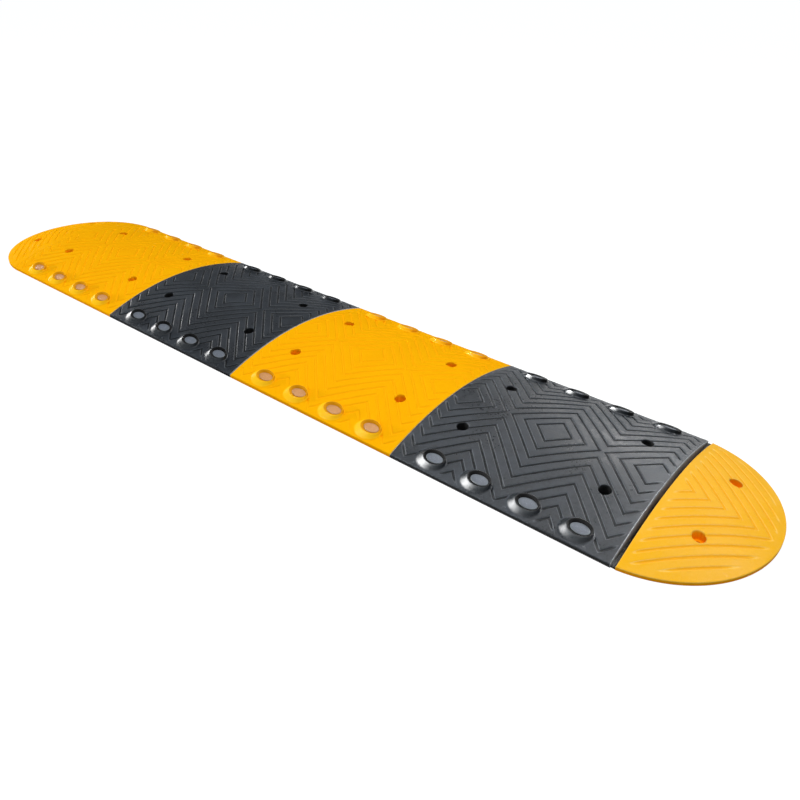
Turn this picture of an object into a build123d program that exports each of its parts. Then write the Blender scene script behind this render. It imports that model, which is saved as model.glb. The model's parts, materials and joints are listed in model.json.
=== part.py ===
"""Modular rubber speed bump: four ramp modules, two rounded end caps and pressed-in reflectors.

Millimetres. +X runs along the bump, +Y across the road lane to the rear side, +Z up.
The origin is on the road, under the middle of the whole bump.
"""

from build123d import *
import math
import os

os.makedirs("parts", exist_ok=True)

# Row of modules
module_colours = ["yellow", "black", "yellow", "black"]
module_pitch = 500.0
joint_gap = 0.6

# Arched cross-section, shared by modules and caps
ramp_width = 480.0
crown_height = 50.0
edge_height = 8.0

# Flat facets that stand in for round surfaces
arch_strips = 8
round_sides = 10
cap_sides = 40
cap_rings = 4

# End caps
cap_length = 220.0
open_joint = 9.0
cap_bolt_from_seam = 100.0
cap_flat_radius = 20.0

# Tread grooves, sizes square to the groove
groove_pitch = 22.0
groove_width = 7.0
groove_depth = 3.0
diamond_spacing = 220.0
first_groove = 29.0
tread_half_width = 150.0

# Bolt holes
bolt_spacing_x = 330.0
bolt_spacing_y = 198.0
bolt_hole_radius = 7.0
bolt_head_radius = 13.0
bolt_seat_height = 15.0

# Reflector bosses and lenses
reflectors_per_row = 4
reflector_spacing = 110.0
reflector_from_edge = 34.0
lens_half_length = 20.0
lens_half_width = 11.5
lens_thickness = 3.0
lens_clearance = 0.3
dish_depth = 4.5
dish_flare = 4.0
boss_lip = 6.0
boss_height = 7.0
boss_root = 3.0
foot_half_length = 35.5
foot_half_width = 27.5
foot_shift_left = 6.5
foot_shift_out = 6.0

# Tongues on the right end of each piece, sockets on the left end
tongue_offset_y = 62.0
tongue_length = 32.0
tongue_root_width = 50.0
tongue_tip_width = 66.0
tongue_height = 16.0
socket_clearance = 0.4

# Hollow cells under the modules, one row on each side of the middle
cell_columns = 3
cell_web = 14.0
cell_end_wall = 52.0
cell_width = 71.0
cell_depth = 24.0

half_width = ramp_width / 2
rise = crown_height - edge_height
arch_radius = (half_width**2 + rise**2) / (2 * rise)
module_length = module_pitch - joint_gap
half_module = module_length / 2
row_half_length = module_pitch * len(module_colours) / 2
reflector_row_y = half_width - reflector_from_edge
seat_half_length = lens_half_length + lens_clearance
seat_half_width = lens_half_width + lens_clearance
dish_floor = boss_height - dish_depth


def arch_height(distance, drop):
    """Height above the road at a distance from the crown, lowered by drop along the arch's radius."""
    radius = arch_radius - drop
    return math.sqrt(radius**2 - distance**2) - radius + crown_height - drop


def arch_block(drop, length):
    """Arched bar along X, centred on the origin, with its crest in flat strips."""
    strip = ramp_width / arch_strips
    across = [half_width - strip * i for i in range(arch_strips + 1)]
    crest = [(y, arch_height(y, drop)) for y in across]
    section = Polygon((-half_width, 0), (half_width, 0), *crest, align=None)
    return Pos(-length / 2, 0, 0) * extrude(Plane.YZ * section, length)


def sided_cone(lower_radius, lower_height, upper_radius, upper_height, sides):
    """Upright truncated cone with flat sides, its radii taken to the corners."""
    inset = (lower_radius - upper_radius) * math.cos(math.pi / sides)
    height = upper_height - lower_height
    taper = math.degrees(math.atan2(inset, height))
    return extrude(Pos(0, 0, lower_height) * RegularPolygon(lower_radius, sides), height, taper=taper)


def diamond(across):
    """Square on its corner, with its sides at a distance across from its centre."""
    return Rot(0, 0, 45) * Rectangle(2 * across, 2 * across)


def module_grooves():
    """Plan of a module's tread: concentric diamonds in the middle, cut ones at the ends."""
    corner_distance = (diamond_spacing / 2 + tread_half_width) / math.sqrt(2)
    ring_count = math.ceil((corner_distance - first_groove) / groove_pitch)
    rings = Sketch()
    for ring in range(ring_count):
        middle = first_groove + ring * groove_pitch
        rings += diamond(middle + groove_width / 2) - diamond(middle - groove_width / 2)
    module_plan = Rectangle(module_pitch, 2 * tread_half_width)
    side_diamonds = math.ceil((module_pitch / diamond_spacing - 1) / 2)
    plan = Sketch()
    for place in range(-side_diamonds, side_diamonds + 1):
        window = Rectangle(diamond_spacing, 2 * tread_half_width) & (
            Pos(-place * diamond_spacing, 0) * module_plan
        )
        plan += Pos(place * diamond_spacing, 0) * (rings & window)
    return plan


def bolt_hole(x, y):
    """Stepped hole that takes the bolt head and washer on a seat above the road."""
    shank = extrude(Circle(bolt_hole_radius), crown_height)
    head = extrude(RegularPolygon(bolt_head_radius, round_sides), crown_height)
    return Pos(x, y, 0) * (shank + Pos(0, 0, bolt_seat_height) * head)


def reflector_places():
    """Distances along a module to its reflectors, whose feet are spread evenly about its middle."""
    first = foot_shift_left - (reflectors_per_row - 1) * reflector_spacing / 2
    return [first + i * reflector_spacing for i in range(reflectors_per_row)]


def reflector_seat(x, side):
    """Location on the ramp surface with Z square to the surface."""
    y = side * reflector_row_y
    tilt = -side * math.degrees(math.asin(reflector_row_y / arch_radius))
    return Pos(x, y, arch_height(reflector_row_y, 0)) * Rot(tilt, 0, 0)


def oval_corners(half_length, half_width, height):
    """Corners of a many-sided oval at a height above a seat."""
    turns = [2 * math.pi * i / round_sides for i in range(round_sides)]
    return [Vector(half_length * math.cos(a), half_width * math.sin(a), height) for a in turns]


def faceted_loft(lower, upper):
    """Solid with flat facets between two rings of corners."""
    outlines = [lower[::-1], upper]
    for i in range(round_sides):
        j = (i + 1) % round_sides
        outlines += [[lower[i], lower[j], upper[j]], [lower[i], upper[j], upper[i]]]
    return Solid(Shell([Face(Wire.make_polygon(outline)) for outline in outlines]))


def reflector_boss(side):
    """Skewed cone from a wide foot in the ramp to an oval rim, with a flared dish for the lens."""
    shift = Vector(-foot_shift_left, side * foot_shift_out, 0)
    foot = [corner + shift for corner in oval_corners(foot_half_length, foot_half_width, -boss_root)]
    rim = oval_corners(seat_half_length + boss_lip, seat_half_width + boss_lip, boss_height)
    floor = oval_corners(seat_half_length, seat_half_width, dish_floor)
    mouth = oval_corners(seat_half_length + dish_flare, seat_half_width + dish_flare, boss_height)
    return faceted_loft(foot, rim) - faceted_loft(floor, mouth)


def reflector_lens():
    """Flat clear oval disc that rests on the floor of the dish."""
    outline = oval_corners(lens_half_length, lens_half_width, dish_floor)
    return extrude(Face(Wire.make_polygon(outline)), lens_thickness)


def tongue_plan(reach, growth):
    """Dovetail outline that starts at the seam and widens away from it, grown all round."""
    spread = (tongue_tip_width - tongue_root_width) / 2 / tongue_length
    root = tongue_root_width / 2 + growth
    tip = tongue_root_width / 2 + spread * reach + growth
    return Polygon((0, -root), (reach, -tip), (reach, tip), (0, root), align=None)


def tongues(seam, bite):
    """Pair of dovetail tongues that reach from a seam plane to the right, rooted bite to its left."""
    pair = Part()
    for side in (-1, 1):
        root = Pos(-bite / 2, 0) * Rectangle(bite, tongue_root_width)
        plan = tongue_plan(tongue_length, 0) + root
        pair += Pos(seam, side * tongue_offset_y, 0) * extrude(plan, tongue_height)
    return pair


def sockets(seam):
    """Pair of pockets, open below, that take tongues rooted on a seam plane."""
    pair = Part()
    for side in (-1, 1):
        plan = tongue_plan(tongue_length + socket_clearance, socket_clearance)
        pocket = extrude(plan, tongue_height + socket_clearance)
        pair += Pos(seam, side * tongue_offset_y, 0) * pocket
    return pair


def hollow_cells():
    """Pockets moulded into the underside between the bolt rows."""
    run = module_length - 2 * cell_end_wall
    cell_length = (run - (cell_columns - 1) * cell_web) / cell_columns
    first = -(run - cell_length) / 2
    cells = Part()
    for column in range(cell_columns):
        x = first + column * (cell_length + cell_web)
        for side in (-1, 1):
            y = side * (cell_web + cell_width) / 2
            cells += Pos(x, y, 0) * extrude(Rectangle(cell_length, cell_width), cell_depth)
    return cells


def ramp_module():
    """One rubber module, centred on the origin, with its tongues to the right."""
    body = arch_block(0, module_length)
    below_grooves = arch_block(groove_depth, module_pitch)
    body -= extrude(module_grooves(), crown_height + groove_depth) - below_grooves
    for side in (-1, 1):
        boss = reflector_boss(side)
        for x in reflector_places():
            body += reflector_seat(x, side) * boss
    for x in (-bolt_spacing_x / 2, bolt_spacing_x / 2):
        for y in (-bolt_spacing_y / 2, bolt_spacing_y / 2):
            body -= bolt_hole(x, y)
    body -= hollow_cells()
    body -= sockets(-half_module - joint_gap)
    body += tongues(half_module, cell_web)
    return body


def cap_dome(outer_radius):
    """Round dome that carries on the ramp's arc, in rings of flat facets, with a flat middle."""
    ring = (outer_radius - cap_flat_radius) / cap_rings
    radii = [outer_radius - i * ring for i in range(cap_rings + 1)]
    dome = extrude(RegularPolygon(outer_radius, cap_sides), arch_height(outer_radius, 0))
    for lower, upper in zip(radii, radii[1:]):
        dome += sided_cone(lower, arch_height(lower, 0), upper, arch_height(upper, 0), cap_sides)
    return dome


def end_cap(set_back):
    """Rounded cap whose seam lies on the plane x = 0, starting set_back to the right of it."""
    plan_radius = (cap_length**2 + half_width**2) / (2 * cap_length)
    centre = cap_length - plan_radius
    dome = Pos(centre, 0, 0) * cap_dome(plan_radius)
    beyond_seam = Rectangle(cap_length - set_back, 2 * plan_radius, align=(Align.MIN, Align.CENTER))
    body = dome & Pos(set_back, 0, 0) * extrude(beyond_seam, crown_height)
    for y in (-bolt_spacing_y / 2, bolt_spacing_y / 2):
        body -= bolt_hole(cap_bolt_from_seam, y)
    return body


# Modules and their reflectors, from the left end to the right
module = ramp_module()
for index, colour in enumerate(module_colours):
    number = index + 1
    centre_x = (index + 0.5) * module_pitch - row_half_length
    export_step(Pos(centre_x, 0, 0) * module, f"parts/module_{number}_{colour}.step")
    for side, row_name in ((-1, "front"), (1, "rear")):
        for spot, x in enumerate(reflector_places(), start=1):
            lens = reflector_seat(centre_x + x, side) * reflector_lens()
            export_step(lens, f"parts/module_{number}_{row_name}_reflector_{spot}.step")

# Left cap ends in tongues, right cap in sockets, so the row locks from end to end
left_cap = end_cap(joint_gap / 2)
left_cap = Rot(0, 0, 180) * left_cap + tongues(-joint_gap / 2, cell_web)
export_step(Pos(-row_half_length, 0, 0) * left_cap, "parts/end_cap_left.step")
right_cap = end_cap(open_joint) - sockets(-joint_gap / 2)
export_step(Pos(row_half_length, 0, 0) * right_cap, "parts/end_cap_right.step")
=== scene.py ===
import json
import math
import bmesh
import bpy
import numpy as np
from mathutils import Matrix, Vector


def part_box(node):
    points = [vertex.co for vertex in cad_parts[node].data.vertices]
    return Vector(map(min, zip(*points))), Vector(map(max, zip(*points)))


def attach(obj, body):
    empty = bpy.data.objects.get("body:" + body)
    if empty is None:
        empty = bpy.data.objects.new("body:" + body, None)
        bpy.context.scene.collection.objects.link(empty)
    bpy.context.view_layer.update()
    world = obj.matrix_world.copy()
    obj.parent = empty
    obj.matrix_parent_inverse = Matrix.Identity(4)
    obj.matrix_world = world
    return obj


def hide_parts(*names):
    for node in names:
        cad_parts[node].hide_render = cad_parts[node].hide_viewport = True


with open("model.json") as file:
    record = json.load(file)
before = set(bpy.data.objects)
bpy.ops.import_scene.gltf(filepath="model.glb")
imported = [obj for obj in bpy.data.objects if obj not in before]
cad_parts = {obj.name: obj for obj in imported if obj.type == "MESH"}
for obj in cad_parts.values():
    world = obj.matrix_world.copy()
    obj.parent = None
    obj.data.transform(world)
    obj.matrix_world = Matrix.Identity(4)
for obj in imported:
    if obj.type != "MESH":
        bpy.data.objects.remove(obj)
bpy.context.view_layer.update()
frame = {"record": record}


# Ramp module body: a heavy block of rubber, arched across the lane, with diamond tread grooves in its top.
# It is pressed in one mould, and its bosses, bolt holes, joint tongues and hollow cells belong to it.
# The top is laid out in faces that run along the sides of the diamonds, so every groove edge is straight.
bolts = {mount["name"]: mount for mount in frame["record"]["mounts"]}
module_low, module_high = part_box("module_2_black")
half_module = bolts["module_2_bolts"]["pos_m"][0] - module_low.x
half_width = module_high.y
crown_height = module_high.z
edge_height = 0.008
edge_round = 0.002
edge_round_angles = (30, 60, 90)
arch_rise = crown_height - edge_height
arch_radius = (half_width**2 + arch_rise**2) / (2 * arch_rise)
groove_pitch = 0.022
groove_depth = 0.0026
groove_floor = 0.0008
groove_mouth = 0.0040
groove_wall = groove_mouth - groove_floor
rib_shoulder = 0.0052
groove_steps = (
    0.0,
    groove_floor,
    groove_floor + groove_wall / 3,
    groove_mouth - groove_wall / 3,
    groove_mouth,
    rib_shoulder,
)
first_groove = 0.029
diamond_spacing = 0.220
groove_from_crest = (0.222, 0.234)
groove_from_end = (0.004, 0.014)
ring_count = 16
rings_to_edge = 8
trim_tolerance = 1e-5


def arch_height(distance):
    """Height of the plain top at a distance from the crest."""
    return np.sqrt(arch_radius**2 - distance**2) - arch_radius + crown_height


def ease(value, start, stop):
    """Smooth step from 0 at start to 1 at stop."""
    share = np.clip((value - start) / (stop - start), 0, 1)
    return share**2 * (3 - 2 * share)


def groove_share(square_distance):
    """How deep the tread is at a distance square to the diamond's sides: 1 in a groove, 0 on a rib."""
    ring = np.maximum(np.round((square_distance - first_groove) / groove_pitch), 0)
    from_groove = np.abs(square_distance - first_groove - ring * groove_pitch)
    return 1 - ease(from_groove, groove_floor, groove_mouth)


def tread_levels():
    """Diamond sizes along the lane at which the top is divided, and how many of them go to one groove."""
    period = groove_pitch * math.sqrt(2)
    rib_middle = (first_groove + groove_pitch / 2) * math.sqrt(2)
    offsets = {0.0, diamond_spacing / 2 % period, rib_middle % period}
    for step in groove_steps:
        offsets.add((first_groove - step) * math.sqrt(2) % period)
        offsets.add((first_groove + step) * math.sqrt(2) % period)
    levels = np.sort(np.array(list(offsets)))
    return np.concatenate([levels + period * ring for ring in range(ring_count)]), len(levels)


def module_top():
    """Open sheet of a module's grooved top, trimmed to its outline less the rounded edge."""
    levels, per_ring = tread_levels()
    rows = rings_to_edge * per_ring

    # Columns of points from end to end, each with its level in the nearest diamond and its place.
    middle = int(np.argmin(np.abs(levels - diamond_spacing / 2)))
    reach = int(np.searchsorted(levels, half_module - diamond_spacing)) + 1
    right = [(i, levels[i]) for i in range(middle + 1)]
    right += [(i, diamond_spacing - levels[i]) for i in range(middle - 1, -1, -1)]
    right += [(i, diamond_spacing + levels[i]) for i in range(1, reach + 1)]
    columns = [(i, -x) for i, x in reversed(right[1:])] + right

    across = np.array([levels[i : i + rows + 1] - levels[i] for i, x in columns])
    y = np.concatenate((-across[:, :0:-1], across), axis=1)
    x = np.repeat([[x] for i, x in columns], 2 * rows + 1, axis=1)
    from_centre = np.repeat([[levels[i]] for i, x in columns], 2 * rows + 1, axis=1)
    depth = groove_share((np.abs(y) + from_centre) / math.sqrt(2))
    depth *= 1 - ease(np.abs(y), *groove_from_crest)
    depth *= ease(half_module - np.abs(x), *groove_from_end)
    z = arch_height(np.minimum(np.abs(y), half_width)) - groove_depth * depth
    corners = np.stack((x, y, z), axis=-1).reshape(-1, 3)

    # Faces lean with the diamond's sides, and a triangle closes each column at the crest and past the edge.
    faces = []
    steps = np.arange(1, rows)
    for column in range(len(columns) - 1):
        rising = columns[column + 1][0] > columns[column][0]
        low, high = (column, column + 1) if rising else (column + 1, column)
        for side in (1, -1):
            at_low = low * (2 * rows + 1) + rows + side * np.arange(rows + 1)
            at_high = high * (2 * rows + 1) + rows + side * np.arange(rows + 1)
            strip = np.stack((at_low[steps], at_high[steps - 1], at_high[steps], at_low[steps + 1]), axis=1)
            ends = np.array(
                ((at_low[0], at_high[0], at_low[1]), (at_low[rows], at_high[rows - 1], at_high[rows]))
            )
            if rising != (side == 1):
                strip = strip[:, ::-1]
                ends = ends[:, ::-1]
            faces += strip.tolist() + ends.tolist()

    sheet = sheet_of(corners, faces)
    for outward, limit in (((1, 0, 0), half_module), ((0, 1, 0), half_width)):
        for side in (-1, 1):
            normal = side * Vector(outward)
            bmesh.ops.bisect_plane(
                sheet,
                geom=sheet.verts[:] + sheet.edges[:] + sheet.faces[:],
                dist=trim_tolerance,
                plane_co=normal * (limit - edge_round),
                plane_no=normal,
                clear_outer=True,
            )
    return sheet


def sheet_of(corners, faces):
    """Open sheet from corner points and faces."""
    mesh = bpy.data.meshes.new("sheet")
    mesh.from_pydata(corners.tolist(), [], faces)
    sheet = bmesh.new()
    sheet.from_mesh(mesh)
    bpy.data.meshes.remove(mesh)
    return sheet


def close_block(sheet, name):
    """Solid from a top sheet: a rounded rim, walls down to the road and a flat base."""
    following = {}
    for edge in sheet.edges:
        if edge.is_boundary:
            loop = edge.link_loops[0]
            following[loop.vert] = loop.link_loop_next.vert
    rim = [next(iter(following))]
    while following[rim[-1]] is not rim[0]:
        rim.append(following[rim[-1]])

    top = np.array([vert.co for vert in rim])
    along = np.roll(top, -1, axis=0)[:, :2] - top[:, :2]
    along /= np.linalg.norm(along, axis=1, keepdims=True)
    outward = np.stack((along[:, 1], -along[:, 0]), axis=1)
    before = np.roll(outward, 1, axis=0)
    mitre = (outward + before) / (1 + (outward * before).sum(axis=1))[:, None]

    rings = []
    for angle in edge_round_angles:
        plan = top[:, :2] + mitre * edge_round * math.sin(math.radians(angle))
        height = top[:, 2] - edge_round * (1 - math.cos(math.radians(angle)))
        rings.append(np.column_stack((plan, height)))
    rings.append(np.column_stack((rings[-1][:, :2], np.zeros(len(rim)))))

    for ring in rings:
        lower = [sheet.verts.new(point) for point in ring]
        for i in range(len(rim)):
            sheet.faces.new((rim[i], rim[i - 1], lower[i - 1], lower[i]))
        rim = lower
    base = sheet.verts.new((rings[-1][:, 0].mean(), rings[-1][:, 1].mean(), 0))
    for i in range(len(rim)):
        sheet.faces.new((base, rim[i], rim[i - 1]))
    mesh = bpy.data.meshes.new(name)
    sheet.to_mesh(mesh)
    sheet.free()
    return new_piece(name, mesh)


def new_piece(name, mesh):
    """Object that holds a mesh, linked to the scene."""
    piece = bpy.data.objects.new(name, mesh)
    bpy.context.scene.collection.objects.link(piece)
    return piece


module = close_block(module_top(), "module")


# Reflector bosses: eight low skewed cones, four along each edge of a module, in the same rubber.
# Each stands square to the arch: a wide filleted foot and, up the slope, an oval rim with a flared dish.
# The boss of each row is drawn through rings of points, and Geometry Nodes set it out along the arch.
reflectors_per_row = 4
reflector_spacing = 0.110
reflector_from_edge = 0.034
reflector_row = half_width - reflector_from_edge
seat_height = float(arch_height(reflector_row))
seat_tilt = math.asin(reflector_row / arch_radius)
boss_sides = 72
foot_left = 0.0065
foot_out = 0.0060
foot_oval = (0.0340, 0.0260)
foot_fillet = 0.0030
fillet_sink = 0.00006
flank_in_fillet = 0.4
skirt_depth = 0.002
root_inset = 0.002
root_depth = 0.006
rim_oval = (0.0263, 0.0178, 0.0070)
flank_in_rim = 0.25
rim_lift = 0.0032
rim_lift_heights = (0.0032, 0.0060)
dish_ovals = (
    (0.0254, 0.0169, 0.0070),
    (0.0248, 0.0163, 0.0069),
    (0.0242, 0.0157, 0.0064),
    (0.0210, 0.0125, 0.0032),
    (0.0207, 0.0122, 0.00275),
    (0.0203, 0.0118, 0.0025),
    (0.0100, 0.0060, 0.0025),
    (0, 0, 0.0025),
)


def lofted(rings):
    """Corners and faces of a closed solid drawn through rings of points, from one end point to another."""
    sides = max(len(ring) for ring in rings)
    corners = []
    indices = []
    for ring in rings:
        indices.append([len(corners) + i % len(ring) for i in range(sides + 1)])
        corners += [Vector(point) for point in ring]
    faces = []
    for lower, upper in zip(indices, indices[1:]):
        for i in range(sides):
            face = (lower[i], lower[i + 1], upper[i + 1], upper[i])
            faces.append(tuple(dict.fromkeys(face)))
    return corners, faces


def oval_ring(half_along, half_across, height):
    """Ring of points above a reflector's seat, or one point where the oval has no width."""
    count = boss_sides if half_across > 0 else 1
    angles = 2 * math.pi * np.arange(count) / count
    ring = (half_along * np.cos(angles), half_across * np.sin(angles), np.full(count, height))
    return np.stack(ring, axis=1)


def boss_rings(side):
    """Rings of a boss, from under the arch over the flank and the rim to the floor of the dish."""

    def foot_ring(growth, drop):
        """Oval of the foot, laid on the arch, grown all round and dropped below it."""
        ring = oval_ring(foot_oval[0] + growth, foot_oval[1] + growth, -drop)
        ring += np.array((-foot_left, side * foot_out, 0))
        ring[:, 2] -= ring[:, 1] ** 2 / (2 * arch_radius)
        return ring

    def rim_ring(oval):
        """Oval of the rim or of the dish, with its uphill side raised near the top."""
        ring = oval_ring(*oval)
        uphill = 0.5 - side * ring[:, 1] / rim_oval[1] / 2
        ring[:, 2] += rim_lift * uphill * ease(oval[2], *rim_lift_heights)
        return ring

    def bend(first, corner, last):
        """Rings along a rounded corner, from a first ring to a last one."""
        shares = (0, 0.2, 0.4, 0.6, 0.8, 1)
        return [(1 - t) ** 2 * first + 2 * t * (1 - t) * corner + t**2 * last for t in shares]

    foot = foot_ring(0, 0)
    rim = rim_ring(rim_oval)
    root = foot_ring(-root_inset, root_depth)
    rings = [root.mean(axis=0)[None], root, foot_ring(foot_fillet, skirt_depth)]
    rings += bend(foot_ring(foot_fillet, fillet_sink), foot, foot + flank_in_fillet * (rim - foot))
    rings += bend(rim + flank_in_rim * (foot - rim), rim, rim_ring(dish_ovals[0]))
    rings += [rim_ring(oval) for oval in dish_ovals[1:]]
    return rings


def solid_of(name, shapes):
    """One object made of several closed shapes."""
    corners = []
    faces = []
    for shape_corners, shape_faces in shapes:
        start = len(corners)
        corners += shape_corners
        faces += [tuple(start + i for i in face) for face in shape_faces]
    mesh = bpy.data.meshes.new(name)
    mesh.from_pydata(corners, [], faces)
    return new_piece(name, mesh)


def place(tree, kind, inputs=None, **settings):
    """Adds a node, sets its options, and fills or links its inputs."""
    node = tree.nodes.new(kind)
    for name, value in settings.items():
        setattr(node, name, value)
    for name, value in (inputs or {}).items():
        if isinstance(value, bpy.types.NodeSocket):
            tree.links.new(value, node.inputs[name])
        else:
            node.inputs[name].default_value = value
    return node


def maths(tree, operation, first, second):
    """Adds a node that works out one value from two."""
    return place(tree, "ShaderNodeMath", {0: first, 1: second}, operation=operation).outputs[0]


def build_reflector_rows():
    """Node tree that sets pieces out in a front row and a rear row, square to a module's arch."""
    tree = bpy.data.node_groups.new("reflector rows", "GeometryNodeTree")
    for name, kind in (
        ("Front Piece", "NodeSocketObject"),
        ("Rear Piece", "NodeSocketObject"),
        ("Count", "NodeSocketInt"),
        ("Spacing", "NodeSocketFloat"),
        ("Shift", "NodeSocketFloat"),
        ("Row Distance", "NodeSocketFloat"),
        ("Seat Height", "NodeSocketFloat"),
        ("Tilt", "NodeSocketFloat"),
        ("Material", "NodeSocketMaterial"),
    ):
        tree.interface.new_socket(name, in_out="INPUT", socket_type=kind)
    tree.interface.new_socket("Rows", in_out="OUTPUT", socket_type="NodeSocketGeometry")
    given = place(tree, "NodeGroupInput").outputs
    gaps = maths(tree, "SUBTRACT", given["Count"], 1.0)
    half_run = maths(tree, "MULTIPLY", maths(tree, "MULTIPLY", gaps, given["Spacing"]), 0.5)
    first = maths(tree, "SUBTRACT", given["Shift"], half_run)
    step = place(tree, "ShaderNodeCombineXYZ", {"X": given["Spacing"]})
    rows = place(tree, "GeometryNodeJoinGeometry")
    for name, side in (("Front Piece", -1), ("Rear Piece", 1)):
        piece = place(tree, "GeometryNodeObjectInfo", {"Object": given[name], "As Instance": True})
        row_y = maths(tree, "MULTIPLY", given["Row Distance"], side)
        start = place(tree, "ShaderNodeCombineXYZ", {"X": first, "Y": row_y, "Z": given["Seat Height"]})
        line = place(
            tree,
            "GeometryNodeMeshLine",
            {"Count": given["Count"], "Start Location": start.outputs[0], "Offset": step.outputs[0]},
            mode="OFFSET",
        )
        tilt = place(tree, "ShaderNodeCombineXYZ", {"X": maths(tree, "MULTIPLY", given["Tilt"], -side)})
        row = place(
            tree,
            "GeometryNodeInstanceOnPoints",
            {"Points": line.outputs[0], "Instance": piece.outputs["Geometry"], "Rotation": tilt.outputs[0]},
        )
        tree.links.new(row.outputs[0], rows.inputs[0])
    real = place(tree, "GeometryNodeRealizeInstances", {"Geometry": rows.outputs[0]})
    painted = place(
        tree, "GeometryNodeSetMaterial", {"Geometry": real.outputs[0], "Material": given["Material"]}
    )
    place(tree, "NodeGroupOutput", {"Rows": painted.outputs[0]})
    return tree


reflector_rows = build_reflector_rows()


def apply_modifiers(piece):
    """Turns the result of a piece's modifiers into its own plain mesh."""
    finished = piece.evaluated_get(bpy.context.evaluated_depsgraph_get())
    piece.data = bpy.data.meshes.new_from_object(finished)
    piece.modifiers.clear()


def set_out(front, rear, material, name):
    """New object with reflector pieces repeated at every seat of a module."""
    sizes = {
        "Front Piece": front,
        "Rear Piece": rear,
        "Count": reflectors_per_row,
        "Spacing": reflector_spacing,
        "Shift": foot_left,
        "Row Distance": reflector_row,
        "Seat Height": seat_height,
        "Tilt": seat_tilt,
        "Material": material,
    }
    rows = new_piece(name, bpy.data.meshes.new(name))
    modifier = rows.modifiers.new("rows", "NODES")
    modifier.node_group = reflector_rows
    for socket in reflector_rows.interface.items_tree:
        if socket.in_out == "INPUT" and sizes[socket.name] is not None:
            modifier[socket.identifier] = sizes[socket.name]
    apply_modifiers(rows)
    return rows


def work(block, tool, operation):
    """Joins a closed shape to a rubber block, or cuts it out, and removes the tool."""
    modifier = block.modifiers.new("work", "BOOLEAN")
    modifier.solver = "MANIFOLD"
    modifier.operation = operation
    modifier.object = tool
    apply_modifiers(block)
    bpy.data.objects.remove(tool)


front_boss = solid_of("front_boss", [lofted(boss_rings(-1))])
rear_boss = solid_of("rear_boss", [lofted(boss_rings(1))])
work(module, set_out(front_boss, rear_boss, None, "bosses"), "UNION")
bpy.data.objects.remove(front_boss)
bpy.data.objects.remove(rear_boss)


# Bolt holes: a wide well for the head and washer, a seat above the road and a clearance hole below it.
# They are moulded in, with a small bevel round the mouth that follows the slope of the arch.
bolt_sizes = bolts["module_2_bolts"]["dims"]
bolt_spacing_x = bolt_sizes["spacing_x_mm"] / 1000
bolt_spacing_y = bolt_sizes["spacing_y_mm"] / 1000
hole_radius = bolt_sizes["hole_r_mm"] / 1000
well_radius = 0.013
bolt_seat = 0.015
hole_sides = 56
hole_bottom = -0.002
hole_top = 0.060
hole_profile = (
    (0, hole_bottom),
    (hole_radius, hole_bottom),
    (hole_radius, bolt_seat),
    (well_radius, bolt_seat),
    (well_radius, hole_top),
    (0, hole_top),
)
bevel_profile = ((0, -0.0017), (0.0129, -0.0017), (0.0152, 0.0006), (0.0152, 0.004), (0, 0.004))


def turned(profile, at):
    """Corners and faces of a closed solid turned from a profile of radius and height, set at a place."""
    rings = []
    for radius, height in profile:
        count = hole_sides if radius > 0 else 1
        angles = [2 * math.pi * i / count for i in range(count)]
        rings.append([at @ Vector((radius * math.cos(a), radius * math.sin(a), height)) for a in angles])
    return lofted(rings)


def drill(block, spots):
    """Cuts stepped bolt holes at spots, each a place on the road and the outward slope of the top there."""
    bevels = []
    holes = []
    for x, y, slope in spots:
        square = Vector((slope.x, slope.y, math.sqrt(1 - slope.length**2)))
        tilt = Vector((0, 0, 1)).rotation_difference(square).to_matrix().to_4x4()
        height = float(arch_height(arch_radius * slope.length))
        bevels.append(turned(bevel_profile, Matrix.Translation((x, y, height)) @ tilt))
        holes.append(turned(hole_profile, Matrix.Translation((x, y, 0))))
    work(block, solid_of("bevels", bevels), "DIFFERENCE")
    work(block, solid_of("holes", holes), "DIFFERENCE")


module_holes = []
for x in (-bolt_spacing_x / 2, bolt_spacing_x / 2):
    for y in (-bolt_spacing_y / 2, bolt_spacing_y / 2):
        module_holes.append((x, y, Vector((0, y / arch_radius))))
drill(module, module_holes)


# Underside: six hollow cells that save rubber, and dovetail tongues and sockets that lock the row together.
# All of it is moulded with the block, and it hides once the bump is bolted down.
# The right cap stands a little off its module, and a thin lip at the module's foot closes that gap.
# The lip is a dark piece put down in the gap as painted shade.
cell_columns = 3
cell_web = 0.014
cell_end_wall = 0.052
cell_width = 0.071
cell_depth = 0.024
tongue_offset = 0.062
tongue_length = 0.032
tongue_root = 0.025
tongue_tip = 0.033
tongue_height = 0.016
tongue_bite = 0.014
socket_clearance = 0.0004
joint_gap = 0.0006
lip_height = 0.004
lip_clearance = 0.0003
past_surface = 0.004


def upright(plan, low, high):
    """Corners and faces of a closed block over a plan listed counter-clockwise."""
    corners = [Vector((x, y, z)) for z in (low, high) for x, y in plan]
    count = len(plan)
    faces = [tuple(range(count - 1, -1, -1)), tuple(range(count, 2 * count))]
    for i in range(count):
        j = (i + 1) % count
        faces.append((i, j, count + j, count + i))
    return corners, faces


def rectangle(left, right, front, rear):
    """Plan of a square-cornered block."""
    return [(left, front), (right, front), (right, rear), (left, rear)]


def dovetail_pair(name, seam, back, growth, low):
    """Two dovetails that widen to the right of a seam, grown all round, with straight roots behind it."""
    tip_x = seam + tongue_length + growth
    root = tongue_root + growth
    tip = tongue_tip + growth
    pair = []
    for y in (-tongue_offset, tongue_offset):
        plan = [
            (seam - back, y - root),
            (seam, y - root),
            (tip_x, y - tip),
            (tip_x, y + tip),
            (seam, y + root),
            (seam - back, y + root),
        ]
        pair.append(upright(plan, low, tongue_height + growth))
    return solid_of(name, pair)


def tongue_pair(seam):
    """Tongues that reach to the right of a seam and are rooted in the piece to its left."""
    return dovetail_pair("tongues", seam, tongue_bite, 0, 0)


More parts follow.
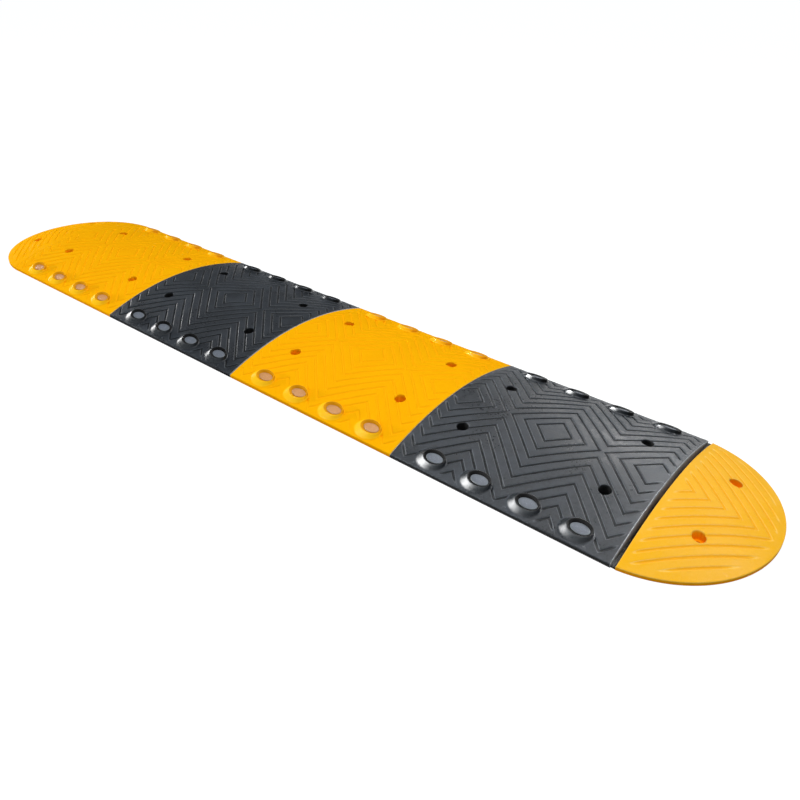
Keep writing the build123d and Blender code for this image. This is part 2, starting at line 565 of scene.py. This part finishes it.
def socket_pair(seam):
    """Pockets, open below and at the seam, that take the tongues of the piece to the left."""
    return dovetail_pair("sockets", seam, past_surface, socket_clearance, -past_surface)


def joint_lip(seam, stop):
    """Thin foot that reaches from a module's end, at a seam, to just short of the next piece."""
    side = half_width - edge_round
    return solid_of("lip", [upright(rectangle(seam - tongue_bite, stop, -side, side), 0, lip_height)])


cell_run = 2 * half_module - 2 * cell_end_wall
cell_length = (cell_run - (cell_columns - 1) * cell_web) / cell_columns
cells = []
for column in range(cell_columns):
    left = -cell_run / 2 + column * (cell_length + cell_web)
    for front in (-cell_web / 2 - cell_width, cell_web / 2):
        plan = rectangle(left, left + cell_length, front, front + cell_width)
        cells.append(upright(plan, -past_surface, cell_depth))
work(module, solid_of("cells", cells), "DIFFERENCE")
work(module, socket_pair(-half_module - joint_gap), "DIFFERENCE")
work(module, tongue_pair(half_module), "UNION")


# Module finish: satin rubber, coloured right through, yellow and black by turns along the row.
# It has the fine grain of the mould, cloudy patches of wear and dull groove floors.
# The groove floors are painted darker on black as painted shade, and lighter on yellow as painted light.
# Rib edges carry rubbed wear and a painted highlight; the rounded module ends carry a painted highlight.
# The flanks of the bosses are polished and painted lighter as a painted highlight, most of all on yellow.
# The dishes round the lenses are matt and painted darker as painted shade.
# Holes and deep walls hold painted shade on black and a painted orange bounce light on yellow.
# On yellow, the lighter Groove is painted light, the orange Well painted bounce light, the darker Ring
# painted shade,
# and the paler Rim and Boss are painted highlights.
yellow_colours = {
    "Face": (0.94, 0.43, 0.002, 1),
    "Worn": (0.93, 0.40, 0.002, 1),
    "Groove": (0.99, 0.45, 0.003, 1),
    "Edge": (0.98, 0.46, 0.004, 1),
    "Well": (0.98, 0.35, 0.001, 1),
    "Ring": (0.78, 0.34, 0.010, 1),
    "Rim": (1.0, 0.52, 0.02, 1),
    "Boss": (1.0, 0.54, 0.010, 1),
}
# On black, the darker Groove, Well and Ring are painted shade,
# and the paler Edge, Rim and Boss are painted highlights.
black_colours = {
    "Face": (0.007, 0.009, 0.012, 1),
    "Worn": (0.022, 0.027, 0.034, 1),
    "Groove": (0.004, 0.005, 0.006, 1),
    "Edge": (0.060, 0.068, 0.078, 1),
    "Well": (0.003, 0.003, 0.003, 1),
    "Ring": (0.003, 0.003, 0.003, 1),
    "Rim": (0.30, 0.32, 0.33, 1),
    "Boss": (0.010, 0.013, 0.016, 1),
}
cloud_scale = 12.0
speckle_scale = 170.0
grain_scale = 1100.0
grain_depth = 0.0008
smooth_angle = math.radians(40)
deepest_noted = 4
dish_low = 0.002
dish_fade = (1.07, 1.12)
end_rim_fade = (0.0, 0.4)
end_rim_drop = 1.05 * edge_round


def ramp(tree, value, start, stop, low=0.0, high=1.0):
    """Adds a node that goes smoothly from low to high while a value goes from start to stop."""
    sizes = {"Value": value, "From Min": start, "From Max": stop, "To Min": low, "To Max": high}
    return place(tree, "ShaderNodeMapRange", sizes, interpolation_type="SMOOTHSTEP").outputs[0]


def mixed(tree, share, first, second):
    """Adds a node that mixes two colours."""
    return place(tree, "ShaderNodeMix", {0: share, 6: first, 7: second}, data_type="RGBA").outputs[2]


def build_moulded_rubber():
    """Shader group for moulded rubber: mottled colour, uneven roughness and a fine moulded grain."""
    tree = bpy.data.node_groups.new("moulded rubber", "ShaderNodeTree")
    for label in yellow_colours:
        tree.interface.new_socket(f"{label} Colour", in_out="INPUT", socket_type="NodeSocketColor")
    for name in ("Roughness", "Polish"):
        tree.interface.new_socket(name, in_out="INPUT", socket_type="NodeSocketFloat")
    tree.interface.new_socket("Colour", in_out="OUTPUT", socket_type="NodeSocketColor")
    for name in ("Roughness", "Polish", "Height"):
        tree.interface.new_socket(name, in_out="OUTPUT", socket_type="NodeSocketFloat")
    given = place(tree, "NodeGroupInput").outputs

    spot = place(tree, "ShaderNodeTexCoord").outputs["Object"]
    mottle = {"Vector": spot, "Detail": 4.0, "Roughness": 0.6}
    cloud = place(tree, "ShaderNodeTexNoise", {**mottle, "Scale": cloud_scale}).outputs[0]
    speckle = place(tree, "ShaderNodeTexNoise", {**mottle, "Scale": speckle_scale}).outputs[0]
    fine = {"Vector": spot, "Scale": grain_scale, "Detail": 2.0}
    grain = place(tree, "ShaderNodeTexNoise", fine).outputs[0]

    # Depth below the plain top and rise above it are noted in groove depths, dish and rim as shares.
    depth = place(tree, "ShaderNodeAttribute", attribute_name="depth").outputs["Fac"]
    rise = place(tree, "ShaderNodeAttribute", attribute_name="rise").outputs["Fac"]
    dish = place(tree, "ShaderNodeAttribute", attribute_name="dish").outputs["Fac"]
    rim = place(tree, "ShaderNodeAttribute", attribute_name="rim").outputs["Fac"]

    def times(first, second):
        """Product of two values."""
        return maths(tree, "MULTIPLY", first, second)

    patches = ramp(tree, cloud, 0.38, 0.66)
    flecks = ramp(tree, speckle, 0.36, 0.68)
    worn = maths(tree, "ADD", times(patches, 0.6), times(flecks, 0.4))
    colour = mixed(tree, worn, given["Face Colour"], given["Worn Colour"])
    # Rib edges: rubbed wear broken up by speckle, and a painted highlight where Edge is paler.
    rib_edge = times(ramp(tree, depth, 0.0, 0.18), ramp(tree, depth, 0.2, 0.55, 1.0, 0.0))
    edge_wear_and_highlight = times(rib_edge, ramp(tree, speckle, 0.3, 0.6, 0.3, 0.8))
    colour = mixed(tree, edge_wear_and_highlight, colour, given["Edge Colour"])
    # Groove floors: painted shade where Groove is darker, and painted light where it is lighter, as on
    # yellow.
    colour = mixed(tree, ramp(tree, depth, 0.35, 0.9), colour, given["Groove Colour"])
    # Deep down, in holes and low walls: painted shade on black and a painted orange bounce light on yellow.
    colour = mixed(tree, ramp(tree, depth, 1.05, 1.3), colour, given["Well Colour"])
    # Bosses painted lighter: a lemon painted highlight on yellow, and a little lighter on black.
    colour = mixed(tree, ramp(tree, rise, 0.1, 0.7), colour, given["Boss Colour"])
    # Painted shade: the dishes and rims round the lenses are painted darker.
    colour = mixed(tree, dish, colour, given["Ring Colour"])
    # Painted highlight along the rounded top edges of the module ends, broken up by speckle.
    painted_rim_highlight = times(rim, ramp(tree, speckle, 0.3, 0.6, 0.5, 1.0))
    colour = mixed(tree, painted_rim_highlight, colour, given["Rim Colour"])

    rough = given["Roughness"]
    for uneven in (
        ramp(tree, speckle, 0.3, 0.7, -0.10, 0.17),
        ramp(tree, cloud, 0.35, 0.65, -0.06, 0.12),
        ramp(tree, depth, 0.2, 0.7, 0.0, 0.3),
        ramp(tree, dish, 0.0, 0.8, 0.0, 0.5),
    ):
        rough = maths(tree, "ADD", rough, uneven)
    flank = times(ramp(tree, rise, 0.1, 0.8), ramp(tree, dish, 0.0, 0.8, 1.0, 0.0))
    height = maths(tree, "ADD", times(speckle, 0.6), times(grain, 0.4))
    place(
        tree,
        "NodeGroupOutput",
        {
            "Colour": colour,
            "Roughness": times(rough, ramp(tree, rise, 0.0, 0.6, 1.0, 0.75)),
            "Polish": times(flank, given["Polish"]),
            "Height": times(height, ramp(tree, rise, 0.0, 0.6, 1.0, 0.15)),
        },
    )
    return tree


moulded_rubber = build_moulded_rubber()


def new_material(name):
    """Material with an empty node tree."""
    material = bpy.data.materials.new(name)
    material.use_nodes = True
    material.node_tree.nodes.clear()
    return material


def rubber_material(name, colours, roughness, polish, specular):
    """Rubber of one colour, with the polish of its bosses and the strength of its gloss."""
    material = new_material(name)
    tree = material.node_tree
    finish = place(tree, "ShaderNodeGroup", node_tree=moulded_rubber)
    for label, colour in colours.items():
        finish.inputs[f"{label} Colour"].default_value = colour
    finish.inputs["Roughness"].default_value = roughness
    finish.inputs["Polish"].default_value = polish
    relief = {"Strength": 0.5, "Distance": grain_depth, "Height": finish.outputs["Height"]}
    bump = place(tree, "ShaderNodeBump", relief)
    surface = place(
        tree,
        "ShaderNodeBsdfPrincipled",
        {
            "Base Color": finish.outputs["Colour"],
            "Roughness": finish.outputs["Roughness"],
            "Normal": bump.outputs[0],
            "Specular IOR Level": specular,
            "Coat Weight": finish.outputs["Polish"],
            "Coat Roughness": 0.3,
        },
    )
    place(tree, "ShaderNodeOutputMaterial", {"Surface": surface.outputs[0]})
    return material


module_colours = ("yellow", "black", "yellow", "black")
module_rubbers = {
    "yellow": rubber_material("yellow_rubber", yellow_colours, roughness=0.4, polish=0.09, specular=0.0003),
    "black": rubber_material("black_rubber", black_colours, roughness=0.38, polish=0.6, specular=0.2),
}


def points_of(mesh):
    """Places of a mesh's points, one to a row."""
    points = np.empty(len(mesh.vertices) * 3, np.float32)
    mesh.vertices.foreach_get("co", points)
    return points.reshape(-1, 3)


def note(mesh, name, values):
    """Keeps one value for each point of a mesh, for its material to read."""
    mesh.attributes.new(name, "FLOAT", "POINT").data.foreach_set("value", values.astype(np.float32))


def finish_rubber(piece, plain_height, material, node):
    """Shades a rubber piece, notes how far its points lie below the plain top, and hands it to the frame."""
    mesh = piece.data
    mesh.shade_smooth()
    mesh.set_sharp_from_angle(angle=smooth_angle)
    points = points_of(mesh)
    below = (plain_height(points) - points[:, 2]) / groove_depth
    note(mesh, "depth", np.clip(below, 0, deepest_noted))
    note(mesh, "rise", np.clip(-below, 0, 1))
    mesh.materials.clear()
    mesh.materials.append(material)
    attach(piece, "root")
    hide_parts(node)


def module_plain_height(points):
    """Height of the ungrooved arch under points."""
    return arch_height(np.minimum(np.abs(points[:, 1]), half_width))


def mark_dishes(mesh):
    """Notes which points of a module belong to the dishes and rims of its bosses."""
    points = points_of(mesh)
    inside = np.zeros(len(points), np.float32)
    mouth_length, mouth_width = dish_ovals[2][:2]
    for i in range(reflectors_per_row):
        x = foot_left + (i - (reflectors_per_row - 1) / 2) * reflector_spacing
        for side in (-1, 1):
            square = np.array(Matrix.Rotation(-side * seat_tilt, 3, "X"))
            local = (points - (x, side * reflector_row, seat_height)) @ square
            share = np.hypot(local[:, 0] / mouth_length, local[:, 1] / mouth_width)
            inside = np.maximum(inside, (1 - ease(share, *dish_fade)) * (local[:, 2] > dish_low))
    note(mesh, "dish", inside)


def mark_end_rims(mesh):
    """Notes which points of a module lie on the rounded top edges of its two ends."""
    points = points_of(mesh)
    past_top = (np.abs(points[:, 0]) - half_module) / edge_round + 1
    below = module_plain_height(points) - points[:, 2]
    note(mesh, "rim", ease(past_top, *end_rim_fade) * (below < end_rim_drop))


mark_dishes(module.data)
mark_end_rims(module.data)
for number, colour in enumerate(module_colours, start=1):
    centre = bolts[f"module_{number}_bolts"]["pos_m"][0]
    piece = new_piece(f"ramp_module_{number}", module.data.copy())
    piece.data.transform(Matrix.Translation((centre, 0, 0)))
    # A dark lip at the foot of the open joint, standing in for the shade in the gap.
    if number == len(module_colours):
        lip_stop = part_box("end_cap_right")[0].x - lip_clearance
        work(piece, joint_lip(centre + half_module, lip_stop), "UNION")
    rubber = module_rubbers[colour]
    finish_rubber(piece, module_plain_height, rubber, f"module_{number}_{colour}")
bpy.data.objects.remove(module)


# Reflector lenses: clear plastic discs with a prismatic back, pressed into the dished tops of the bosses.
# They look grey over black rubber and peach over yellow.
# Their rounded edge is painted lighter on grey, a painted highlight, and a little darker on peach.
# One oval disc with a low dome is drawn through rings, and the boss tree sets it out on each module.
lens_half_length = 0.020
lens_ovals = (
    (0, 0, 0.00252),
    (0.0195, 0.0110, 0.00252),
    (0.0199, 0.0114, 0.0029),
    (lens_half_length, 0.0115, 0.0035),
    (0.0198, 0.0113, 0.0040),
    (0.0192, 0.0107, 0.0044),
    (0.0182, 0.0098, 0.00465),
    (0.0140, 0.0075, 0.0049),
    (0.0070, 0.0038, 0.0051),
    (0, 0, 0.0052),
)
grey_colours = {
    "body": (0.115, 0.128, 0.150, 1),
    "cell": (0.165, 0.182, 0.225, 1),
    "rim": (0.155, 0.170, 0.185, 1),
}
peach_colours = {
    "body": (0.56, 0.26, 0.09, 1),
    "cell": (0.64, 0.34, 0.16, 1),
    "rim": (0.50, 0.27, 0.10, 1),
}
prism_scale = 420.0
prism_depth = 0.0006
haze_scale = 130.0


def lens_material(name, body, cell, rim):
    """Clear domed plastic over small prisms, seen as pale cells in a darker ground."""
    material = new_material(name)
    tree = material.node_tree
    spot = place(tree, "ShaderNodeTexCoord").outputs["Object"]
    prisms = place(tree, "ShaderNodeTexVoronoi", {"Vector": spot, "Scale": prism_scale}, feature="F1")
    prism = prisms.outputs["Distance"]
    haze = place(tree, "ShaderNodeTexNoise", {"Vector": spot, "Scale": haze_scale, "Detail": 3.0}).outputs[0]
    edge = place(tree, "ShaderNodeAttribute", attribute_name="rim").outputs["Fac"]
    lit = maths(tree, "MULTIPLY", ramp(tree, prism, 0.15, 0.6, 1.0, 0.0), ramp(tree, haze, 0.35, 0.65))
    colour = mixed(tree, lit, body, cell)
    # The rounded edge: a painted highlight on grey, where the rim is paler than the body.
    colour = mixed(tree, ramp(tree, edge, 0.8, 0.95), colour, rim)
    rough = place(
        tree,
        "ShaderNodeMapRange",
        {"Value": haze, "From Min": 0.3, "From Max": 0.7, "To Min": 0.28, "To Max": 0.45},
    )
    bump = place(tree, "ShaderNodeBump", {"Strength": 0.25, "Distance": prism_depth, "Height": prism})
    surface = place(
        tree,
        "ShaderNodeBsdfPrincipled",
        {
            "Base Color": colour,
            "Roughness": rough.outputs[0],
            "Normal": bump.outputs[0],
            "Specular IOR Level": 0.2,
            "Coat Weight": 0.05,
            "Coat Roughness": 0.12,
        },
    )
    place(tree, "ShaderNodeOutputMaterial", {"Surface": surface.outputs[0]})
    return material


lens_plastics = {
    "yellow": lens_material("lens_on_yellow", **peach_colours),
    "black": lens_material("lens_on_black", **grey_colours),
}
lens = solid_of("lens", [lofted([oval_ring(*oval) for oval in lens_ovals])])
edge_shares = [half_length / lens_half_length for half_length, half_across, height in lens_ovals]
edge_counts = [boss_sides if share > 0 else 1 for share in edge_shares]
note(lens.data, "rim", np.repeat(edge_shares, edge_counts))
for number, colour in enumerate(module_colours, start=1):
    lenses = set_out(lens, lens, lens_plastics[colour], f"reflector_lenses_{number}")
    lenses.data.transform(Matrix.Translation((bolts[f"module_{number}_bolts"]["pos_m"][0], 0, 0)))
    lenses.data.shade_smooth()
    lenses.data.set_sharp_from_angle(angle=smooth_angle)
    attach(lenses, "root")
    for row in ("front", "rear"):
        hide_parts(*[f"module_{number}_{row}_reflector_{i + 1}" for i in range(reflectors_per_row)])
bpy.data.objects.remove(lens)


# End caps: half-round yellow rubber pieces that carry the arch round the ends of the row.
# Their tread is a stack of arrowheads that point to the tip and fade out before the edge.
# The left cap locks in with tongues. The right one has sockets, and its rubber is painted paler as a painted
# sheen.
cap_low, cap_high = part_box("end_cap_right")
row_end = bolts["module_4_bolts"]["pos_m"][0] + half_module + joint_gap / 2
cap_length = cap_high.x - row_end
open_joint = cap_low.x - row_end
cap_bolt = bolts["end_cap_right_bolts"]["pos_m"][0] - row_end
cap_radius = (cap_length**2 + half_width**2) / (2 * cap_length)
cap_centre = cap_length - cap_radius
arrow_angle = math.radians(43.2)
arrow_pitch = 0.0208
arrow_first = 0.0344
arrow_from_seam = (0.018, 0.034)
arrow_from_edge = (0.012, 0.026)
cap_columns = 56
cap_edge_rows = 24
least_row = 2e-5
weld_distance = 2e-6
sliver_width = 1e-6
# Its groove floors are painted darker as painted shade.
# Painted sheen: the right cap's face and worn patches are paler, and its rib edges carry a painted
# highlight.
sheen_painted_colours = {
    **yellow_colours,
    "Face": (0.92, 0.45, 0.008, 1),
    "Worn": (0.93, 0.48, 0.035, 1),
    "Groove": (0.88, 0.41, 0.015, 1),
    "Edge": (0.97, 0.60, 0.140, 1),
}
sheen_painted_rubber = rubber_material(
    "sheen_painted_yellow_rubber", sheen_painted_colours, roughness=0.38, polish=0.0, specular=0.012
)


def cap_groove_share(square_distance):
    """How deep the cap's tread is at a distance square to the arrowheads."""
    from_groove = np.abs((square_distance - arrow_first + arrow_pitch / 2) % arrow_pitch - arrow_pitch / 2)
    return 1 - ease(from_groove, groove_floor, groove_mouth)


def cap_top(seam):
    """Open sheet of a cap's top, with its rows along the arrowheads, from a seam to the round edge."""
    sine = math.sin(arrow_angle)
    cosine = math.cos(arrow_angle)
    start = seam + edge_round
    radius = cap_radius - edge_round
    corner_y = math.sqrt(radius**2 - (start - cap_centre) ** 2)
    first = start * sine
    tip = (cap_centre + radius) * sine
    corner = start * sine + corner_y * cosine
    last = cap_centre * sine + radius

    # Rows follow the grooves, and close in where the arrowheads run out along the round edge.
    rows = {first, tip, corner, last}
    groove = arrow_first
    while groove < last:
        for step in groove_steps:
            rows |= {groove - step, groove + step}
        rows.add(groove + arrow_pitch / 2)
        groove += arrow_pitch
    half_span = math.acos((corner - cap_centre * sine) / radius)
    turns = [half_span * i / cap_edge_rows for i in range(cap_edge_rows)]
    rows |= {cap_centre * sine + radius * math.cos(turn) for turn in turns}
    rows = sorted(row for row in rows if first <= row <= last)
    kept = [rows[0]]
    for row in rows[1:]:
        if row - kept[-1] > least_row or row == last:
            kept.append(row)
    rows = np.array(kept)[:, None]

    half_chord = np.sqrt(np.maximum(radius**2 - (rows - cap_centre * sine) ** 2, 0))
    begin = np.maximum((start - rows * sine) / cosine, cap_centre * cosine - half_chord)
    stop = np.minimum(rows * cosine / sine, cap_centre * cosine + half_chord)
    stop = np.maximum(stop, begin)
    along = begin + (stop - begin) * np.linspace(0, 1, cap_columns + 1)
    x = rows * sine + along * cosine
    y = np.maximum(rows * cosine - along * sine, 0)
    from_centre = np.hypot(x - cap_centre, y)
    depth = cap_groove_share(np.repeat(rows, cap_columns + 1, axis=1))
    depth = depth * ease(x, *arrow_from_seam)
    depth = depth * ease(cap_radius - from_centre, *arrow_from_edge)
    z = arch_height(from_centre) - groove_depth * depth
    corners = np.stack((x, y, z), axis=-1).reshape(-1, 3)

    faces = []
    width = cap_columns + 1
    for row in range(len(rows) - 1):
        for column in range(cap_columns):
            low = row * width + column
            faces.append((low, low + 1, low + width + 1, low + width))
    mirrored = corners * (1, -1, 1)
    count = len(corners)
    faces += [tuple(count + i for i in reversed(face)) for face in faces]
    sheet = sheet_of(np.concatenate((corners, mirrored)), faces)
    bmesh.ops.remove_doubles(sheet, verts=sheet.verts[:], dist=weld_distance)
    bmesh.ops.dissolve_degenerate(sheet, edges=sheet.edges[:], dist=sliver_width)
    return sheet


def cap_plain_height(points):
    """Height of the plain dome under points, for either cap."""
    from_centre = np.hypot(np.abs(points[:, 0]) - row_end - cap_centre, points[:, 1])
    return arch_height(np.minimum(from_centre, cap_radius))


cap_slope = Vector((cap_bolt - cap_centre, bolt_spacing_y / 2)) / arch_radius
cap_holes = [
    (cap_bolt, bolt_spacing_y / 2, cap_slope),
    (cap_bolt, -bolt_spacing_y / 2, Vector((cap_slope.x, -cap_slope.y))),
]
left_cap = close_block(cap_top(joint_gap / 2), "rounded_cap_left")
drill(left_cap, cap_holes)
left_cap.data.transform(Matrix.Translation((-row_end, 0, 0)) @ Matrix.Rotation(math.pi, 4, "Z"))
work(left_cap, tongue_pair(-row_end - joint_gap / 2), "UNION")
finish_rubber(left_cap, cap_plain_height, module_rubbers["yellow"], "end_cap_left")

right_cap = close_block(cap_top(open_joint), "rounded_cap_right")
drill(right_cap, cap_holes)
right_cap.data.transform(Matrix.Translation((row_end, 0, 0)))
work(right_cap, socket_pair(row_end - joint_gap / 2), "DIFFERENCE")
finish_rubber(right_cap, cap_plain_height, sheen_painted_rubber, "end_cap_right")


# Floor and light: a plain studio floor, seen as white, under a sky that is dim low down and bright above.
# One lamp hangs overhead, and one that stands low on the left only fills the shade.
# The panels only add glints: behind, high up, far left, at the right cap and close to both rows of bosses.
floor_reach = 40
floor_drop = 0.0005
floor_grey = (0.3, 0.3, 0.3, 1)
floor_glow = 0.8
sky_colour = (0.94, 1.0, 1.06, 1)
sky_heights = (0.2, 0.9)
sky_strengths = (0.12, 0.95)

floor_mesh = bpy.data.meshes.new("floor")
floor_plan = rectangle(-floor_reach, floor_reach, -floor_reach, floor_reach)
floor_mesh.from_pydata([(x, y, 0) for x, y in floor_plan], [], [(0, 1, 2, 3)])
floor = new_piece("floor", floor_mesh)
floor.location.z = -floor_drop
floor_paint = new_material("floor_paint")
tree = floor_paint.node_tree
rays = place(tree, "ShaderNodeLightPath").outputs
seen = rays["Is Camera Ray"]
for kind in ("Is Glossy Ray", "Is Transmission Ray"):
    seen = maths(tree, "MAXIMUM", seen, rays[kind])
paint = place(tree, "ShaderNodeBsdfDiffuse", {"Color": floor_grey})
lift = maths(tree, "MULTIPLY", seen, floor_glow)
glow = place(tree, "ShaderNodeEmission", {"Color": (1, 1, 1, 1), "Strength": lift})
blend = place(tree, "ShaderNodeAddShader", {0: paint.outputs[0], 1: glow.outputs[0]})
place(tree, "ShaderNodeOutputMaterial", {"Surface": blend.outputs[0]})
floor_mesh.materials.append(floor_paint)

world = bpy.data.worlds.new("studio")
bpy.context.scene.world = world
world.use_nodes = True
tree = world.node_tree
tree.nodes.clear()
direction = place(tree, "ShaderNodeTexCoord").outputs["Generated"]
upward = place(tree, "ShaderNodeSeparateXYZ", {"Vector": direction}).outputs["Z"]
level = ramp(tree, upward, *sky_heights, *sky_strengths)
sky = place(tree, "ShaderNodeBackground", {"Color": sky_colour, "Strength": level})
place(tree, "ShaderNodeOutputWorld", {"Surface": sky.outputs[0]})


def hang_lamp(name, spot, aim, size, beam, power, rays):
    """Soft rectangular lamp at a spot, turned to aim, with its beam in degrees and its power in watts.

    Its rays are fill, which lights the rubber evenly, and glint, which shines in its gloss.
    """
    lamp = bpy.data.lights.new(name, "AREA")
    lamp.shape = "RECTANGLE"
    lamp.size, lamp.size_y = size
    lamp.spread = math.radians(beam)
    lamp.energy = power
    holder = bpy.data.objects.new(name, lamp)
    holder.location = spot
    holder.rotation_euler = (Vector(aim) - Vector(spot)).to_track_quat("-Z", "Y").to_euler()
    holder.visible_diffuse = "fill" in rays
    holder.visible_glossy = "glint" in rays
    holder.visible_camera = False
    bpy.context.scene.collection.objects.link(holder)


hang_lamp("top_lamp", (1.0, -0.3, 3.2), (0.3, 0, 0), (1.6, 1.6), 180, 44, ("fill", "glint"))
hang_lamp("left_lamp", (-4.2, -2.1, 0.52), (0, 0, 0), (1.0, 0.6), 180, 100, ("fill",))
hang_lamp("back_panel", (0.65, 2.4, 1.5), (0.8, 0, 0), (1.9, 1.9), 180, 82, ("glint",))
hang_lamp("high_panel", (-0.06, 0.55, 2.0), (0.75, -0.15, 0), (0.9, 0.9), 90, 4, ("glint",))
hang_lamp("left_panel", (-3.2, 0.1, 0.5), (0.3, -0.1, 0), (1.0, 0.7), 180, 40, ("glint",))
hang_lamp("right_panel", (1.72, 0.78, 1.7), (1.19, -0.12, 0.02), (0.5, 0.5), 22, 5.0, ("glint",))
hang_lamp("near_row_panel", (-0.02, -0.58, 0.58), (0.85, -0.1, 0), (0.9, 0.35), 50, 3.4, ("glint",))
hang_lamp("far_row_panel", (-0.12, 0.1, 0.45), (0.8, 0.26, 0), (0.35, 0.35), 30, 1.2, ("glint",))


# Camera: where the photograph was taken from, above the road, to the right of the near end.
# Its place, its turn and its lens were fitted to the seams, the outline, the bolt holes and the reflectors.
camera_spot = Vector((1.30682, -1.23980, 0.97425))
camera_right = Vector((0.78099, 0.62433, 0.01629))
camera_down = Vector((0.34982, -0.41569, -0.83954))
camera_data = bpy.data.cameras.new("camera")
camera_data.lens = 34.543
camera_data.sensor_width = 36
camera = bpy.data.objects.new("camera", camera_data)
back = camera_down.cross(camera_right).normalized()
axes = Matrix((camera_right, -camera_down, back)).transposed().to_4x4()
camera.matrix_world = Matrix.Translation(camera_spot) @ axes
bpy.context.scene.collection.objects.link(camera)
bpy.context.scene.camera = camera
bpy.context.scene.view_settings.view_transform = "Standard"
